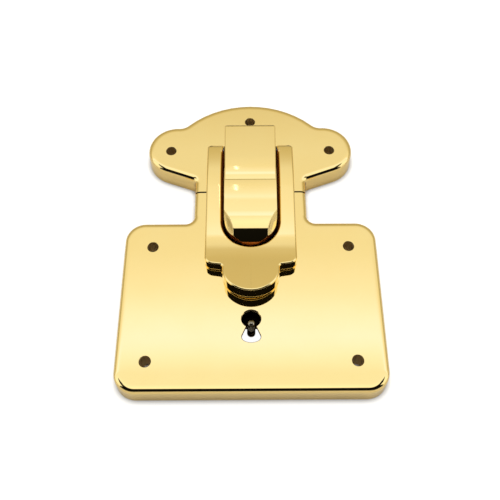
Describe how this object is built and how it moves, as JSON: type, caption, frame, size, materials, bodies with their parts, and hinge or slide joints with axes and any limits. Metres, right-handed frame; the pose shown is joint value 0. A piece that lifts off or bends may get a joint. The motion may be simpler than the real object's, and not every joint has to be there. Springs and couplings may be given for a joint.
{
  "type": "chest lock",
  "caption": "Polished chest lock with a swinging hasp, a thumb catch that draws a spring latch, and a key-driven bolt that holds the hasp's staple.",
  "frame": {"origin": "middle of the lock's footprint, in the plane of its back face", "axes": "+Z out of the front face, +Y up the face towards the lid's plate, +X to the right seen from the front"},
  "size_m": [0.1004, 0.1334, 0.0185],
  "materials": {
    "gold": "polished gold plate",
    "brass": "plain sheet brass",
    "steel": "zinc plated",
    "dark_steel": "turned, darkened"
  },
  "bodies": {
    "case": {"lower_plate": "gold", "upper_plate": "gold", "hinge_strap": "gold", "lower_back_plate": "brass", "upper_back_plate": "brass", "strap_rivets": "brass", "ward": "brass", "lower_back_screws": "steel", "upper_back_screws": "steel", "hinge_pin": "steel", "catch_pin": "steel", "catch_bracket": "steel", "catch_springs": "steel", "latch_guide": "steel", "latch_stop": "steel", "latch_spring": "steel", "bolt_studs": "steel", "bolt_spring": "steel", "bolt_spring_posts": "steel", "hinge_washers": "dark_steel", "key_post": "dark_steel"},
    "hasp_body": {"hasp": "gold", "hasp_staple": "steel", "staple_screws": "dark_steel"},
    "catch_body": {"thumb_catch": "gold"},
    "latch_body": {"latch_slide": "steel"},
    "bolt_body": {"bolt": "brass"}
  },
  "joints": [
    {"name": "hasp_swing", "type": "hinge", "parent": "case", "child": "hasp_body", "pos_m": [0, 0.0385, 0.01165], "axis": [-1, 0, 0], "range_deg": [0, 175]},
    {"name": "catch_press", "type": "hinge", "parent": "case", "child": "catch_body", "pos_m": [0, 0.0148, 0.0058], "axis": [1, 0, 0], "range_deg": [0, 6], "stiffness_Nm_per_rad": 1, "springref_deg": -5.73, "deforming": ["catch_springs", "latch_spring"]},
    {"name": "latch_draw", "type": "slide", "parent": "case", "child": "latch_body", "axis": [0, 1, 0], "range_m": [0, 0.0018]},
    {"name": "bolt_throw", "type": "slide", "parent": "case", "child": "bolt_body", "axis": [1, 0, 0], "range_m": [0, 0.005]}
  ],
  "couplings": [
    {"joint": "latch_draw", "follows": "catch_press", "m_per_rad": 0.01695}
  ]
}
